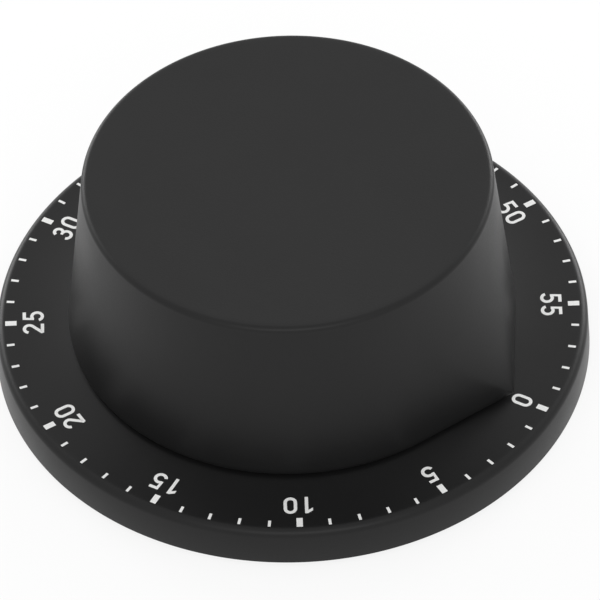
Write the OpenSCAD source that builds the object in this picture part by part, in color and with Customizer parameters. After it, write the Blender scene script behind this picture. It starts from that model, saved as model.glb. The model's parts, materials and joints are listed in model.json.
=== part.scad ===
// Mechanical kitchen timer: a round base with a minute dial, and a tall tapered knob that winds
// the clockwork inside it and points at the minutes left.
// Millimetres. The origin is the middle of the underside, +Z runs up the knob's axis and
// +X runs from the axis to the zero mark of the dial.

/* [Base] */
// Outer diameter of the base at its foot
base_d = 80; // [76:1:100]
// Height of the base above the cover's underside
base_h = 5.7; // [5.4:0.1:8]
// How far the rubber ring stands out below the cover
foot_proud = 0.8; // [0.4:0.1:1.5]
// How far the rim leans in from its foot to its rounded edge
rim_lean = 0.2; // [0:0.1:1]
// Radius of the rim's rounded upper edge
rim_round = 1.1; // [0.4:0.1:1.5]
// Thickness of the rim's wall
rim_wall = 2; // [1.6:0.1:3]
// Thickness of the dial's plate
dial_t = 1.6; // [1.2:0.1:2]
// Height of the collar that stands up from the dial inside the knob
collar_h = 1.8; // [1:0.1:3]
// Thickness of the back cover
cover_t = 1.6; // [1.4:0.1:2.2]
// Width of the rubber ring
foot_w = 3.5; // [2.5:0.1:4]

/* [Knob] */
// Diameter of the knob's flat top
knob_top_d = 54.9; // [54:0.5:66]
// Diameter of the knob's round lower edge
knob_base_d = 60.2; // [59.5:0.5:66]
// Height of the knob
knob_h = 25.14; // [24.5:0.1:32]
// Gap between the knob's lower edge and the dial
knob_gap = 0.76; // [0.4:0.02:1.5]
// Distance from the axis to the tip of the pointer
pointer_r = 33.6; // [33:0.1:36]
// Thickness of the knob's side
knob_wall = 1.8; // [1.2:0.1:2]
// Thickness of the knob's top
knob_roof = 2.2; // [1.6:0.1:3]
// Size of the small round along the knob's upper edge
knob_edge = 0.8; // [0.4:0.1:1.2]

/* [Movement frame] */
// Thickness of each clockwork plate
plate_t = 1; // [0.8:0.1:1.5]
// Space between the two plates
plate_gap = 12.5; // [12.5:0.1:15]
// Diameter of the pillars between the plates
pillar_d = 3.6; // [3:0.1:4.4]
// Clearance between the plates and the inside of the knob's top
plate_clear = 1.05; // [0.6:0.05:1.4]
// Diameter of every screw's thread
screw_d = 2; // [1.6:0.1:2.4]
// Diameter of every screw's head
head_d = 3.8; // [3.2:0.1:4.2]
// Height of every screw's head
head_h = 1.1; // [0.8:0.1:1.2]

/* [Arbors] */
// Diameter of the main arbor where the wheels sit on it
main_d = 3; // [2.4:0.1:3.6]
// Diameter of the thin pivots at the ends of the other arbors
pivot_d = 1; // [0.8:0.1:1.1]
// Radial clearance of a pivot in its hole
run_clear = 0.05; // [0.02:0.01:0.08]
// Radial clearance of a piece pushed onto its shaft or screwed into its hole
seat_clear = 0.02; // [0.01:0.01:0.03]

/* [Train] */
// Teeth of the great wheel
great_teeth = 60; // [60:1:60]
// Module of the great wheel and its pinion
great_mod = 0.45; // [0.42:0.01:0.46]
// Teeth of the second wheel
second_teeth = 56; // [56:1:56]
// Module of the second wheel and its pinion
second_mod = 0.3; // [0.26:0.01:0.31]
// Teeth of the third wheel
third_teeth = 64; // [64:1:64]
// Module of the third wheel and its pinion
third_mod = 0.22; // [0.2:0.01:0.24]
// Teeth of the escape wheel
escape_teeth = 18; // [18:1:18]
// Radius of the escape wheel at its tips
escape_r = 4.5; // [4:0.1:4.8]
// Thickness of the thin wheels
wheel_t = 0.6; // [0.4:0.1:0.8]

/* [Bell] */
// Height of the bell cup
gong_h = 5.8; // [5:0.1:7]
// Thickness of the bell cup
gong_t = 0.8; // [0.5:0.1:1]
// Diameter of the hammer's head
hammer_d = 3.2; // [2.6:0.1:3.6]
// Radius of the cam that holds the hammer back
cam_r = 6; // [5.5:0.1:6.4]

/* [Hidden] */
$fn = 64;

// Heights of the base and the knob
cover_z = foot_proud;
floor_z = cover_z + cover_t;
dial_z = cover_z + base_h;
knob_z = dial_z + knob_gap;
knob_top_z = knob_z + knob_h;
ceiling_z = knob_top_z - knob_roof;

// Radii of the base
rim_r = base_d / 2 - rim_lean;
case_in_r = rim_r - rim_wall;
cover_clear = 0.1;
cover_r = case_in_r - cover_clear;
foot_r = cover_r - 1.4;
groove_clear = 0.1;
groove_h = cover_t / 2;
collar_t = 1;
collar_gap = 1.1;
collar_r = knob_base_d / 2 - knob_wall - collar_gap;
boss_r = screw_d / 2 + 2;
boss_polar = collar_r + boss_r - 0.2;
boss_rise = 0.6;
screw_play = 0.15;
head_play = 0.2;
cover_screw_angles = [0, 120, 240];

// Heights of the clockwork
gong_lift = 1.2;
gong_z = floor_z + gong_lift;
gong_head_room = 1.1;
back_z = gong_z + gong_h + gong_head_room;
back_top = back_z + plate_t;
front_z = back_top + plate_gap;
front_top = front_z + plate_t;
end_shake = 0.3;

// Radii of the clockwork frame
plate_r = knob_top_d / 2 - knob_wall - plate_clear;
pillar_polar = plate_r - pillar_d / 2 - 0.5;
pillar_angles = [20, 175, 285];
post_r = pillar_d / 2 + 1;
gong_r = pillar_polar - post_r - 1.5;
gong_in_r = gong_r - gong_t;

// Pieces on the pillars and round the main arbor
stud_thread_r = screw_d / 2 - 0.1;
stud_rise = 1.4;
nut_h = 1;
main_pivot_r = main_d / 2 - 0.5;
bush_r = main_d / 2 + 1.1;
bush_rim = 0.4;
clip_z = front_top + bush_rim + 0.1;
clip_seat_r = main_d / 2 - 0.3;
clip_groove_h = 0.4;
hub_r = main_d / 2 + 1.9;
hub_z = front_top + 1.2;
hub_groove_z = hub_z + 1;
hub_groove_h = 0.6;
hub_groove_r = hub_r - 0.4;
flat_share = 0.72;

// Windows in the plates
window_polar = plate_r * 0.62;
back_window_r = 3;
back_window_angles = [320, 255];
front_window_r = 3.4;
front_window_angles = [330, 0, 150];

// Height of each level above the back plate
spring_level = back_top + 0.4;
spring_w = 4;
ratchet_level = back_top + 4.8;
great_level = back_top + 5.9;
great_t = 0.8;
third_level = back_top + 7.3;
cam_level = back_top + 8.2;
cam_t = 1.2;
follower_level = back_top + 9.9;
second_level = back_top + 10;
bar_level = back_top + 0.7;
escape_level = back_top + 2;
escape_t = 0.8;
lever_level = back_top + 3.6;
lever_t = 0.7;

// Arbors and pins
second_arbor_r = 1;
third_arbor_r = 0.8;
thin_arbor_r = 0.6;
tenon_r = 0.5;
pivot_out = 0.2;

// The mainspring and the post at its outer end
spring_t = 0.35;
spring_r = 10.6;
spring_turns = 6;
spring_angle = 330;
spring_post_r = 0.7;
spring_post_at = polar(spring_r + 0.15 + spring_post_r, spring_angle);

// The train: every pinion has the same number of leaves
leaves = 8;
great_arm = (great_teeth + leaves) * great_mod / 2;
second_arm = (second_teeth + leaves) * second_mod / 2;
third_arm = (third_teeth + leaves) * third_mod / 2;
second_polar = great_arm;
third_polar = 15.5;
escape_polar = 16.5;
second_angle = 60;
third_angle = second_angle + corner(second_polar, third_polar, second_arm);
escape_angle = third_angle + corner(third_polar, escape_polar, third_arm);
second_at = polar(second_polar, second_angle);
third_at = polar(third_polar, third_angle);
escape_at = polar(escape_polar, escape_angle);

// Where each wheel's first tooth points, so that every pair is in mesh
great_phase = 0;
second_phase = mesh_phase(heading([0, 0], second_at), great_phase, great_teeth);
third_phase = mesh_phase(heading(second_at, third_at), second_phase, second_teeth);
escape_pinion_phase = mesh_phase(heading(third_at, escape_at), third_phase, third_teeth);

// The pallets: two pins that stand just clear of the escape wheel at the middle of the swing
pallet_pin_r = 0.25;
pallet_clear = 0.12;
pallet_reach = escape_r + pallet_pin_r + pallet_clear;
pallet_spread = 50;
pallet_arm = pallet_reach / cos(pallet_spread);
pallet_polar = 18.5;
pallet_angle = escape_angle + corner(escape_polar, pallet_polar, pallet_arm);
pallet_at = polar(pallet_polar, pallet_angle);
escape_phase = heading(escape_at, pallet_at);
pallet_pins_at = [for (side = [-1, 1])
    escape_at + polar(pallet_reach, escape_phase + side * pallet_spread)];

// The stop: a rib inside the knob meets a pin on the front plate at each end of the turn
turn_range = 354;
stop_d = 1.2;
stop_rib = 1.1;
stop_polar = plate_r - 1.8;
stop_angle = 200;
rib_angle = stop_angle - (360 - turn_range) / 2;

// The click, on the underside of the great wheel
ratchet_teeth = 16;
ratchet_r = 5;
ratchet_root = 4.1;
ratchet_t = 0.8;
click_angle = 45;
click_polar = 8.4;
click_swing = 50;
click_at = polar(click_polar, click_angle + click_swing);
stud_r = 0.6;

// The hammer, its follower and the spring that drives it
hammer_at = polar(15, 215);
follower_r = 0.5;
follower_gap = 0.1;
follower_polar = cam_r + follower_r + follower_gap;
follower_angle = 215 + acos(follower_polar / 15);
follower_at = polar(follower_polar, follower_angle);
hammer_gap = 1.2;
head_at = polar(gong_in_r - hammer_gap - hammer_d / 2, 170);
hammer_shaft_r = 0.8;
arm_t = 0.8;
arm_z = gong_z + 3.4;

steel = "silver";
brass = "goldenrod";
black = [0.17, 0.17, 0.18];

// The point at a radius and an angle from the axis.
function polar(r, a) = [r * cos(a), r * sin(a)];

// The direction from one point to another.
function heading(p, q) = atan2(q[1] - p[1], q[0] - p[0]);

// The angle at the axis between two points at radii a and b that lie c apart.
function corner(a, b, c) = acos((a * a + b * b - c * c) / (2 * a * b));

// Where a pinion's first leaf points when it meshes, in the given direction, with a wheel.
function mesh_phase(direction, phase, teeth) =
    direction + 180 - (0.5 - (direction - phase) * teeth / 360) * 360 / leaves;

// The outline of a toothed wheel: a straight-sided tooth every 360 / teeth degrees.
function toothed(teeth, root, tip, root_share, tip_share) = [
    for (i = [0:teeth - 1])
        for (edge = [[root, -root_share], [tip, -tip_share], [tip, tip_share], [root, root_share]])
            polar(edge[0], (i + edge[1] / 2) * 360 / teeth)];

// The outline of a saw-toothed wheel whose steep faces look counterclockwise.
function saw_toothed(teeth, root, tip) = [
    for (i = [0:teeth - 1])
        for (edge = [[root, 0.02], [tip, 1]])
            polar(edge[0], (i + edge[1]) * 360 / teeth)];

// The outline of a spiral strip from radius r0 to r1 whose outer end is at an angle.
function spiral(r0, r1, turns, thick, end_angle, steps) = concat(
    [for (i = [0:steps]) polar(r0 + (r1 - r0) * i / steps,
        end_angle - 360 * turns * (1 - i / steps))],
    [for (i = [steps:-1:0]) polar(r0 + (r1 - r0) * i / steps - thick,
        end_angle - 360 * turns * (1 - i / steps))]);

// A straight rod up from a height.
module rod(r, z0, z1) {
    translate([0, 0, z0]) cylinder(r = r, h = z1 - z0);
}

// A flat bar with round ends between two points.
module bar(p, q, w, z0, z1) {
    length = norm(q - p);
    translate([p[0], p[1], z0]) rotate(heading(p, q)) {
        translate([0, -w / 2, 0]) cube([length, w, z1 - z0]);
        cylinder(d = w, h = z1 - z0);
        translate([length, 0, 0]) cylinder(d = w, h = z1 - z0);
    }
}

// Children repeated at one radius and a list of angles.
module around(r, angles) {
    for (a = angles) rotate(a) translate([r, 0, 0]) children();
}

// A cylinder-head screw with a slot: its head's top at z0, its thread up to z1.
module screw(z0, z1) {
    slot_w = 0.5;
    slot_depth = 0.4;
    difference() {
        union() {
            rod(head_d / 2, z0, z0 + head_h);
            rod(screw_d / 2, z0 + head_h - 0.1, z1);
        }
        translate([-head_d, -slot_w / 2, z0 - 1]) cube([2 * head_d, slot_w, slot_depth + 1]);
    }
}

// A ring of holes that lightens a wheel.
module lightening(r, hole_r, count, z0, z1) {
    around(r, [for (i = [0:count - 1]) (i + 0.5) * 360 / count]) rod(hole_r, z0 - 1, z1 + 1);
}

// A thin wheel with pointed teeth, lightening holes and a seat for its arbor.
module train_wheel(teeth, mod, phase, seat_r, z0) {
    r = teeth * mod / 2;
    difference() {
        union() {
            translate([0, 0, z0]) rotate(phase) linear_extrude(wheel_t)
                polygon(toothed(teeth, r - 0.95 * mod, r + 0.75 * mod, 0.5, 0.2));
            rod(seat_r + 0.9, z0 - 0.3, z0 + wheel_t);
        }
        rod(seat_r + seat_clear, z0 - 1, z0 + wheel_t + 1);
        lightening(r * 0.58, r * 0.22, 5, z0, z0 + wheel_t);
    }
}

// An arbor between the plates with its pinion's leaves over a stretch of its height.
module pinion_arbor(body_r, mod, phase, z0, z1) {
    r = leaves * mod / 2;
    rod(body_r, back_top + end_shake, front_z - end_shake);
    rod(pivot_d / 2, back_z - pivot_out, front_top + pivot_out);
    translate([0, 0, z0]) rotate(phase) linear_extrude(z1 - z0)
        polygon(toothed(leaves, r - 1.15 * mod, r + 0.6 * mod, 0.44, 0.24));
}

// The base: a rim with a rounded edge, the dial's plate and the collar inside the knob.
module dial_case() {
    round_steps = 8;
    color(black) difference() {
        union() {
            rotate_extrude($fn = 128) polygon(concat(
                [[base_d / 2, cover_z]],
                [for (i = [0:round_steps]) [rim_r - rim_round, dial_z - rim_round]
                    + polar(rim_round, 90 * i / round_steps)],
                [[collar_r, dial_z], [collar_r, dial_z + collar_h],
                    [collar_r - collar_t, dial_z + collar_h], [collar_r - collar_t, dial_z - dial_t],
                    [case_in_r, dial_z - dial_t], [case_in_r, cover_z]]));
            around(boss_polar, cover_screw_angles)
                rod(boss_r, floor_z + boss_rise, dial_z - dial_t / 2);
        }
        around(boss_polar, cover_screw_angles)
            rod(screw_d / 2 + seat_clear, floor_z, dial_z - dial_t / 2);
    }
}

// The back cover, with the posts that carry the clockwork and the boss under the bell.
module back_cover() {
    color(black) difference() {
        union() {
            rod(cover_r, cover_z, floor_z);
            around(boss_polar, cover_screw_angles) rod(boss_r, floor_z - 0.1, floor_z + boss_rise);
            around(pillar_polar, pillar_angles) rod(post_r, floor_z - 0.1, back_z);
            rod(boss_r, floor_z - 0.1, gong_z);
        }
        difference() {
            rod(foot_r + groove_clear, cover_z - 1, cover_z + groove_h);
            rod(foot_r - foot_w - groove_clear, cover_z - 2, cover_z + groove_h + 1);
        }
        around(boss_polar, cover_screw_angles) {
            rod(head_d / 2 + head_play, cover_z - 1, cover_z + head_h + 0.1);
            rod(screw_d / 2 + screw_play, cover_z, floor_z + boss_rise + 1);
        }
        around(pillar_polar, pillar_angles) {
            rod(head_d / 2 + head_play, cover_z - 1, cover_z + head_h + 0.1);
            rod(screw_d / 2 + screw_play, cover_z, back_z + 1);
        }
        rod(screw_d / 2 + seat_clear, floor_z - cover_t / 2, gong_z + 1);
    }
}

// The rubber ring that the timer stands on.
module foot_ring() {
    color([0.1, 0.1, 0.1]) difference() {
        rod(foot_r, 0, cover_z + groove_h);
        rod(foot_r - foot_w, -1, cover_z + groove_h + 1);
    }
}

// The screws that hold the back cover to the dial case.
module cover_screws() {
    color(steel) around(boss_polar, cover_screw_angles)
        screw(cover_z + 0.1, dial_z - dial_t / 2 - 0.3);
}

// The screws that hold the clockwork's pillars to the back cover.
module movement_screws() {
    color(steel) around(pillar_polar, pillar_angles) screw(cover_z + 0.1, back_top + 3);
}

// The lower plate of the clockwork.
module back_plate() {
    color(brass) difference() {
        rod(plate_r, back_z, back_top);
        rod(main_pivot_r + run_clear, back_z - 1, back_top + 1);
        for (p = [second_at, third_at, escape_at, pallet_at])
            translate(p) rod(pivot_d / 2 + run_clear, back_z - 1, back_top + 1);
        translate(hammer_at) rod(hammer_shaft_r + run_clear, back_z - 1, back_top + 1);
        translate(spring_post_at) rod(tenon_r + seat_clear, back_z - 1, back_top + 1);
        around(pillar_polar, pillar_angles)
            rod(screw_d / 2 + screw_play, back_z - 1, back_top + 1);
        around(window_polar, back_window_angles) rod(back_window_r, back_z - 1, back_top + 1);
    }
}

// The upper plate of the clockwork.
module front_plate() {
    color(brass) difference() {
        rod(plate_r, front_z, front_top);
        rod(bush_r + seat_clear, front_z - 1, front_top + 1);
        for (p = [second_at, third_at, escape_at, pallet_at, hammer_at])
            translate(p) rod(pivot_d / 2 + run_clear, front_z - 1, front_top + 1);
        around(pillar_polar, pillar_angles)
            rod(stud_thread_r + seat_clear, front_z - 1, front_top + 1);
        rotate(stop_angle) translate([stop_polar, 0, 0])
            rod(stop_d / 2 + seat_clear, front_z - 1, front_top + 1);
        around(window_polar, front_window_angles)
            rod(front_window_r, front_z - 1, front_top + 1);
    }
}

// The pillars, threaded inside below and with a stud above.
module pillars() {
    color(steel) around(pillar_polar, pillar_angles) difference() {
        union() {
            rod(pillar_d / 2, back_top, front_z);
            rod(stud_thread_r, front_z - 0.1, front_top + stud_rise);
        }
        rod(screw_d / 2 + seat_clear, back_top - 1, back_top + 3.4);
    }
}

// The hexagon nuts on the pillars' studs.
module pillar_nuts() {
    color(steel) around(pillar_polar, pillar_angles) difference() {
        translate([0, 0, front_top]) cylinder(r = pillar_d / 2, h = nut_h, $fn = 6);
        rod(stud_thread_r + seat_clear, front_top - 1, front_top + 2);
    }
}

// The bush in the front plate in which the main arbor turns.
module main_bush() {
    color(brass) difference() {
        union() {
            rod(bush_r, front_z, front_top);
            rod(bush_r + 0.7, front_top, front_top + bush_rim);
        }
        rod(main_d / 2 + run_clear, front_z - 1, front_top + 1);
    }
}

// The pin on the front plate that ends the knob's turn both ways.
module stop_pin() {
    color(steel) rotate(stop_angle) translate([stop_polar, 0, 0])
        rod(stop_d / 2, front_z, front_top + 3.4);
}

// The mainspring, a flat strip wound round the main arbor, with its outer end at its post.
module mainspring() {
    color("slategray") translate([0, 0, spring_level]) linear_extrude(spring_w) polygon(
        spiral(main_d / 2 + 1.15, spring_r, spring_turns, spring_t, spring_angle,
            20 * spring_turns));
}

// The post that holds the mainspring's outer end.
module spring_post() {
    color(steel) translate(spring_post_at) {
        rod(spring_post_r, back_top, spring_level + spring_w);
        rod(tenon_r, back_z, back_top + 0.1);
    }
}

// The bell cup, open upwards.
module gong() {
    round_r = 2.4;
    steps = 6;
    color("lightgray") rotate_extrude($fn = 96) polygon(concat(
        [[screw_d / 2 + screw_play, gong_z]],
        [for (i = [0:steps]) [gong_r - round_r, gong_z + round_r]
            + polar(round_r, -90 + 90 * i / steps)],
        [[gong_r, gong_z + gong_h], [gong_in_r, gong_z + gong_h]],
        [for (i = [steps:-1:0]) [gong_r - round_r, gong_z + round_r]
            + polar(round_r - gong_t, -90 + 90 * i / steps)],
        [[screw_d / 2 + screw_play, gong_z + gong_t]]));
}

// The screw that holds the bell to the back cover.
module gong_screw() {
    color(steel) translate([0, 0, 2 * gong_z]) rotate([180, 0, 0]) {
        top = gong_z - gong_t - head_h;
        screw(top, 2 * gong_z - floor_z + cover_t / 2 - 0.1);
    }
}

// The hammer's spring: a close coil under the back plate, one end in the plate, one on the arm.
module hammer_spring() {
    wire_r = 0.2;
    turns = 5;
    coil_r = hammer_shaft_r + 0.6;
    low = arm_z + arm_t + 0.15;
    side = heading(hammer_at, head_at);
    color("slategray") translate([hammer_at[0], hammer_at[1], 0]) {
        rotate_extrude() polygon(concat(
            [[coil_r - wire_r, low]],
            [for (i = [0:2 * turns]) [coil_r + wire_r * (i % 2), low + i * wire_r]],
            [[coil_r - wire_r, low + 2 * turns * wire_r]]));
        rotate(side - 90) translate([coil_r, 0, low + wire_r]) rotate([-90, 0, 0])
            cylinder(r = wire_r, h = 6);
        rotate(side - 90) translate([coil_r, 6, arm_z]) rod(wire_r, 0, low + 2 * wire_r - arm_z);
        translate([0, coil_r, 0]) rod(wire_r, low + wire_r, back_z);
    }
}

// The knob: a tapered shell on a teardrop foot, with its hub and stop rib inside.
module knob_outside() {
    top_r = knob_top_d / 2;
    edge_steps = 4;
    tip_r = 0.5;
    hull($fn = 72) {
        rod(knob_base_d / 2, knob_z, knob_z + 0.3);
        translate([pointer_r - tip_r, 0, 0]) rod(tip_r, knob_z, knob_z + 0.3, $fn = 12);
        for (i = [0:edge_steps]) {
            p = [top_r - knob_edge, knob_top_z - knob_edge] + polar(knob_edge, 90 * i / edge_steps);
            rod(p[0], p[1] - 0.1, p[1]);
        }
    }
}
module knob() {
    color(black) {
        difference() {
            knob_outside();
            translate([0, 0, knob_z - 1]) cylinder(
                r1 = knob_base_d / 2 - knob_wall + (knob_base_d - knob_top_d) / 2 / knob_h,
                r2 = knob_top_d / 2 - knob_wall, h = ceiling_z - knob_z + 1);
        }
        difference() {
            rod(hub_r, hub_z, ceiling_z + 0.1);
            intersection() {
                rod(main_d / 2 + run_clear, hub_z - 1, ceiling_z);
                translate([-main_d, -main_d, 0])
                    cube([main_d * (1 + flat_share / 2) + run_clear, 2 * main_d, ceiling_z]);
            }
            difference() {
                rod(hub_r + 1, hub_groove_z, hub_groove_z + hub_groove_h);
                rod(hub_groove_r, hub_z, hub_z + 3);
            }
        }
        rotate(rib_angle) translate([stop_polar - 1.3, -stop_rib / 2, front_top + 1.8])
            cube([knob_top_d / 2 - knob_wall / 2 - stop_polar + 1.3, stop_rib,
                ceiling_z - front_top - 1.7]);
    }
}

// The wire ring that grips the knob's hub.
module knob_clip() {
    color(steel) difference() {
        rod(hub_r + 0.3, hub_groove_z + 0.05, hub_groove_z + hub_groove_h - 0.05);
        rod(hub_groove_r + seat_clear, hub_z, hub_z + 2);
        translate([0, -0.6, hub_z]) cube([2 * hub_r, 1.2, 2]);
    }
}

// The main arbor: a pivot below, the spring's barrel, the wheels' seat and a flatted end.
module main_arbor() {
    color(steel) difference() {
        union() {
            rod(main_pivot_r, back_z - 0.4, back_top + 1);
            rod(main_d / 2 + 0.5, back_top + end_shake, spring_level + spring_w + 0.2);
            rod(main_d / 2, back_top + 1, ceiling_z - 0.2);
        }
        translate([main_d / 2 * flat_share, -main_d, hub_z - 0.2])
            cube([main_d, 2 * main_d, ceiling_z]);
        difference() {
            rod(main_d, clip_z, clip_z + clip_groove_h);
            rod(clip_seat_r, clip_z - 1, clip_z + 1);
        }
    }
}

// The spring clip that keeps the main arbor in its bush.
module arbor_clip() {
    color(steel) difference() {
        rod(main_d / 2 + 0.9, clip_z + 0.03, clip_z + clip_groove_h - 0.03);
        rod(clip_seat_r + seat_clear, clip_z - 1, clip_z + 1);
        translate([0, -main_d / 4, clip_z - 1]) cube([2 * main_d, main_d / 2, 2]);
    }
}

// The ratchet wheel, fast on the main arbor.
module ratchet_wheel() {
    color(steel) difference() {
        translate([0, 0, ratchet_level]) rotate(click_angle) linear_extrude(ratchet_t)
            polygon(saw_toothed(ratchet_teeth, ratchet_root, ratchet_r));
        rod(main_d / 2 + seat_clear, ratchet_level - 1, ratchet_level + 2);
    }
}

// The cam, whose notch lets the hammer go as the time runs out.
module cam_disc() {
    notch_half = 1.3;
    color(brass) difference() {
        union() {
            rod(cam_r, cam_level, cam_level + cam_t);
            rod(main_d / 2 + 1, cam_level, cam_level + cam_t + 0.3);
        }
        rod(main_d / 2 + seat_clear, cam_level - 1, cam_level + 3);
        rotate(follower_angle - (360 - turn_range) / 2)
            translate([cam_r - 1.9, -notch_half, cam_level - 1])
                cube([3, 2 * notch_half, cam_t + 2]);
    }
}

// The great wheel, loose on the main arbor and driven through the click.
module great_wheel() {
    r = great_teeth * great_mod / 2;
    great_hole_polar = 8;
    great_hole_r = 2.6;
    great_hole_angles = [180, 240, 300, 0];
    color(brass) difference() {
        translate([0, 0, great_level]) linear_extrude(great_t)
            polygon(toothed(great_teeth, r - 0.95 * great_mod, r + 0.75 * great_mod, 0.5, 0.2));
        rod(main_d / 2 + run_clear, great_level - 1, great_level + 2);
        translate(click_at) rod(stud_r + seat_clear, great_level - 1, great_level + 2);
        around(great_hole_polar, great_hole_angles) rod(great_hole_r, great_level - 1, great_level + 2);
    }
}

// The stud under the great wheel on which the click turns.
module click_stud() {
    color(steel) translate(click_at) {
        rod(stud_r, ratchet_level - 0.1, great_level + great_t);
        rod(stud_r + 0.5, ratchet_level - 0.4, ratchet_level - 0.1);
    }
}

// The click: an arm from its stud to a beak in front of a ratchet tooth.
module click() {
    color(steel) difference() {
        translate([0, 0, ratchet_level]) linear_extrude(ratchet_t) {
            polygon([polar(4.35, click_angle + 2.5), polar(5.9, click_angle + 2.5),
                polar(8.95, click_angle + click_swing - 6), polar(7.5, click_angle + click_swing),
                polar(5.45, click_angle + 17), polar(4.65, click_angle + 8)]);
            translate(click_at) circle(r = 1.2);
        }
        translate(click_at) rod(stud_r + run_clear, ratchet_level - 1, ratchet_level + 2);
    }
}

// The strip spring on the great wheel that keeps the click in the ratchet's teeth.
module click_spring() {
    foot = polar(11.4, click_angle + click_swing + 18);
    tip = polar(click_polar + 1.6, click_angle + click_swing - 7);
    color("slategray") {
        bar(foot, tip, 0.3, ratchet_level + 0.1, ratchet_level + 0.7);
        translate(foot) rod(0.5, ratchet_level + 0.1, great_level);
    }
}

// The arbors and wheels of the train.
module second_arbor() {
    color(steel) translate(second_at)
        pinion_arbor(second_arbor_r, great_mod, second_phase, great_level - 0.4,
            great_level + great_t + 0.4);
}
module second_wheel() {
    color(brass) translate(second_at)
        train_wheel(second_teeth, second_mod, second_phase, second_arbor_r, second_level);
}
module third_arbor() {
    color(steel) translate(third_at)
        pinion_arbor(third_arbor_r, second_mod, third_phase, second_level - 0.3,
            second_level + wheel_t + 0.3);
}
module third_wheel() {
    color(brass) translate(third_at)
        train_wheel(third_teeth, third_mod, third_phase, third_arbor_r, third_level);
}
module escape_arbor() {
    color(steel) translate(escape_at)
        pinion_arbor(thin_arbor_r, third_mod, escape_pinion_phase, third_level - 0.3,
            third_level + wheel_t + 0.3);
}

// The escape wheel, with slender teeth for the pallet pins.
module escape_wheel() {
    color(brass) translate(escape_at) difference() {
        union() {
            translate([0, 0, escape_level]) rotate(escape_phase) linear_extrude(escape_t)
                polygon(toothed(escape_teeth, escape_r - 1.1, escape_r, 0.45, 0.12));
            rod(1.4, escape_level - 0.3, escape_level + escape_t);
        }
        rod(thin_arbor_r + seat_clear, escape_level - 1, escape_level + 2);
    }
}

// The pallets: the arbor, the forked lever, its two pins and the bar that slows the swing.
module pallet_arbor() {
    color(steel) translate(pallet_at) {
        rod(thin_arbor_r, back_top + end_shake, front_z - end_shake);
        rod(pivot_d / 2, back_z - pivot_out, front_top + pivot_out);
    }
}
module pallet_lever() {
    color(brass) difference() {
        union() {
            for (p = pallet_pins_at) bar(pallet_at, p, 1.1, lever_level, lever_level + lever_t);
            translate(pallet_at) rod(1.5, lever_level, lever_level + lever_t + 0.4);
        }
        translate(pallet_at) rod(thin_arbor_r + seat_clear, lever_level - 1, lever_level + 3);
        for (p = pallet_pins_at)
            translate(p) rod(pallet_pin_r + seat_clear, lever_level - 1, lever_level + 2);
    }
}
module pallet_pins() {
    color(steel) for (p = pallet_pins_at)
        translate(p) rod(pallet_pin_r, escape_level - 0.2, lever_level + lever_t);
}
module inertia_bar() {
    half = 3.6;
    bar_t = 0.8;
    ends = [for (side = [-1, 1]) pallet_at + side * polar(half, escape_phase + 90)];
    color(brass) difference() {
        union() {
            bar(ends[0], ends[1], 1.2, bar_level, bar_level + bar_t);
            for (p = ends) translate(p) rod(1.1, bar_level, bar_level + bar_t);
            translate(pallet_at) rod(1.3, bar_level, bar_level + bar_t);
        }
        translate(pallet_at) rod(thin_arbor_r + seat_clear, bar_level - 1, bar_level + 2);
    }
}

// The hammer: its arbor, the arm with the head below, and the follower that rides the cam.
module hammer_arbor() {
    color(steel) translate(hammer_at) {
        rod(hammer_shaft_r, arm_z - 0.4, front_z - end_shake);
        rod(hammer_shaft_r + 0.6, back_top + 0.1, back_top + 0.8);
        rod(pivot_d / 2, front_z - 1, front_top + pivot_out);
    }
}
module hammer_arm() {
    color(steel) difference() {
        union() {
            bar(hammer_at, head_at, 1.8, arm_z, arm_z + arm_t);
            translate(hammer_at) rod(1.7, arm_z, arm_z + arm_t);
        }
        translate(hammer_at) rod(hammer_shaft_r + seat_clear, arm_z - 1, arm_z + 2);
        translate(head_at) rod(tenon_r + seat_clear, arm_z - 1, arm_z + 2);
    }
}
module hammer_head() {
    color(brass) translate(head_at) {
        rod(hammer_d / 2, gong_z + gong_t + 0.8, arm_z);
        rod(tenon_r, arm_z - 0.1, arm_z + arm_t);
    }
}
module hammer_follower() {
    color(steel) {
        difference() {
            union() {
                bar(hammer_at, follower_at, 1.4, follower_level, follower_level + arm_t);
                translate(hammer_at) rod(1.7, follower_level, follower_level + arm_t);
            }
            translate(hammer_at)
                rod(hammer_shaft_r + seat_clear, follower_level - 1, follower_level + 2);
        }
        translate(follower_at) rod(follower_r, cam_level + 0.1, follower_level + 0.1);
    }
}

dial_case();
back_cover();
foot_ring();
cover_screws();
movement_screws();
back_plate();
front_plate();
pillars();
pillar_nuts();
main_bush();
stop_pin();
mainspring();
spring_post();
gong();
gong_screw();
hammer_spring();
knob();
main_arbor();
arbor_clip();
knob_clip();
ratchet_wheel();
cam_disc();
great_wheel();
click_stud();
click_spring();
click();
second_arbor();
second_wheel();
third_arbor();
third_wheel();
escape_arbor();
escape_wheel();
pallet_arbor();
pallet_lever();
pallet_pins();
inertia_bar();
hammer_arbor();
hammer_arm();
hammer_head();
hammer_follower();
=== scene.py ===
"""Kitchen timer: the finishes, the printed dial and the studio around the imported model."""
import json
import logging
import math
from dataclasses import dataclass
from enum import Enum

import bmesh
import bpy
from mathutils import Matrix, Vector


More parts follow.
